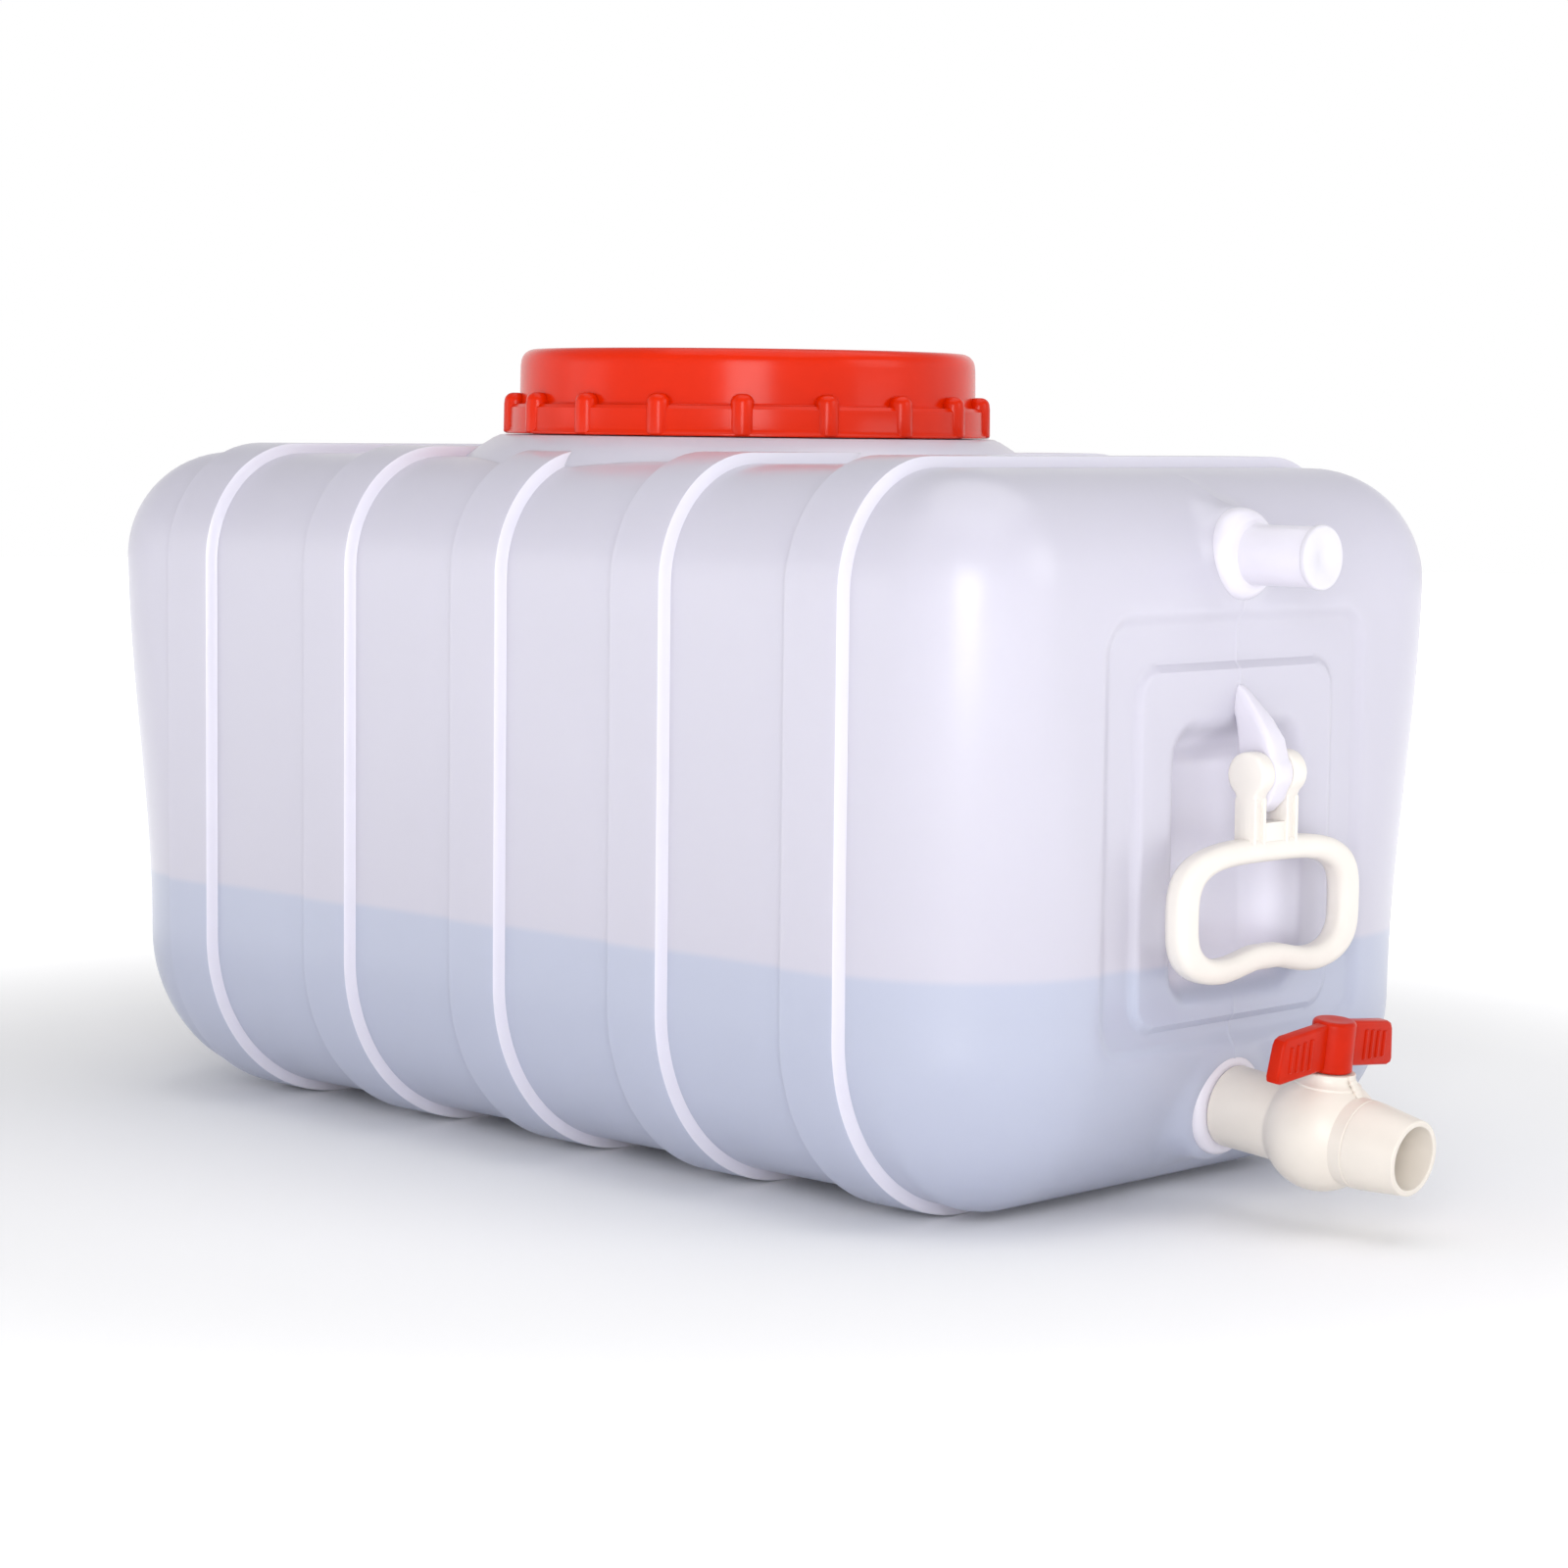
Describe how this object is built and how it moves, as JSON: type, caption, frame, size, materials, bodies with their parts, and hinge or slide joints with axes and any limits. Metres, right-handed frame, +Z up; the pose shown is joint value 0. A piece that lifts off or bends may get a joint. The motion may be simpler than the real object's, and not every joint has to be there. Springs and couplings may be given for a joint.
{
  "type": "fresh water tank",
  "caption": "Horizontal ribbed plastic water tank with a wide screw lid, capped vent stub, swinging carry handles and a ball valve.",
  "frame": {"origin": "centre of the base, on the floor under the middle rib", "axes": "+X along the tank towards the valve end, +Z up, +Y across"},
  "size_m": [0.8803, 0.432, 0.457],
  "materials": {
    "natural_polyethylene": "translucent natural white, soft sheen",
    "lid_red": "orange red, moulded",
    "gasket_foam": "white closed-cell foam",
    "vent_cap_white": "white, moulded",
    "handle_white": "off-white polypropylene",
    "valve_cream": "cream, moulded",
    "valve_core": "polished ivory plastic",
    "seat_white": "waxy fluoropolymer white",
    "seal_rubber": "black rubber",
    "lever_red": "orange red, moulded"
  },
  "bodies": {
    "tank": {"tank_shell": "natural_polyethylene", "valve_body": "valve_cream", "valve_end_piece": "valve_cream", "valve_end_o_ring": "seal_rubber", "valve_seat_inlet": "seat_white", "valve_seat_outlet": "seat_white", "inlet_gasket": "seal_rubber"},
    "gasket": {"lid_gasket": "gasket_foam"},
    "screw_lid": {"lid": "lid_red"},
    "vent_plug": {"vent_cap": "vent_cap_white"},
    "front_handle": {"handle_front": "handle_white"},
    "rear_handle": {"handle_rear": "handle_white"},
    "valve_core": {"valve_ball": "valve_core", "valve_stem": "valve_core", "stem_o_rings": "seal_rubber", "valve_handle": "lever_red"}
  },
  "joints": [
    {"name": "lid_rise", "type": "slide", "parent": "tank", "child": "gasket", "axis": [0, 0, 1], "range_m": [0, 0.048]},
    {"name": "lid_turn", "type": "hinge", "parent": "gasket", "child": "screw_lid", "pos_m": [0, 0, 0.43], "axis": [0, 0, 1], "range_deg": [0, 720]},
    {"name": "vent_cap_pull", "type": "slide", "parent": "tank", "child": "vent_plug", "axis": [1, 0, 0], "range_m": [0, 0.05]},
    {"name": "front_handle_swing", "type": "hinge", "parent": "tank", "child": "front_handle", "pos_m": [0.384, 0, 0.236], "axis": [0, -1, 0], "range_deg": [-5, 150]},
    {"name": "rear_handle_swing", "type": "hinge", "parent": "tank", "child": "rear_handle", "pos_m": [-0.384, 0, 0.236], "axis": [0, 1, 0], "range_deg": [-5, 150]},
    {"name": "valve_turn", "type": "hinge", "parent": "tank", "child": "valve_core", "pos_m": [0.42467, 0, 0.05073], "axis": [0.1045, 0, 0.9945], "range_deg": [0, 90]}
  ],
  "couplings": [
    {"joint": "lid_rise", "follows": "lid_turn", "m_per_rad": 0.0038197}
  ]
}
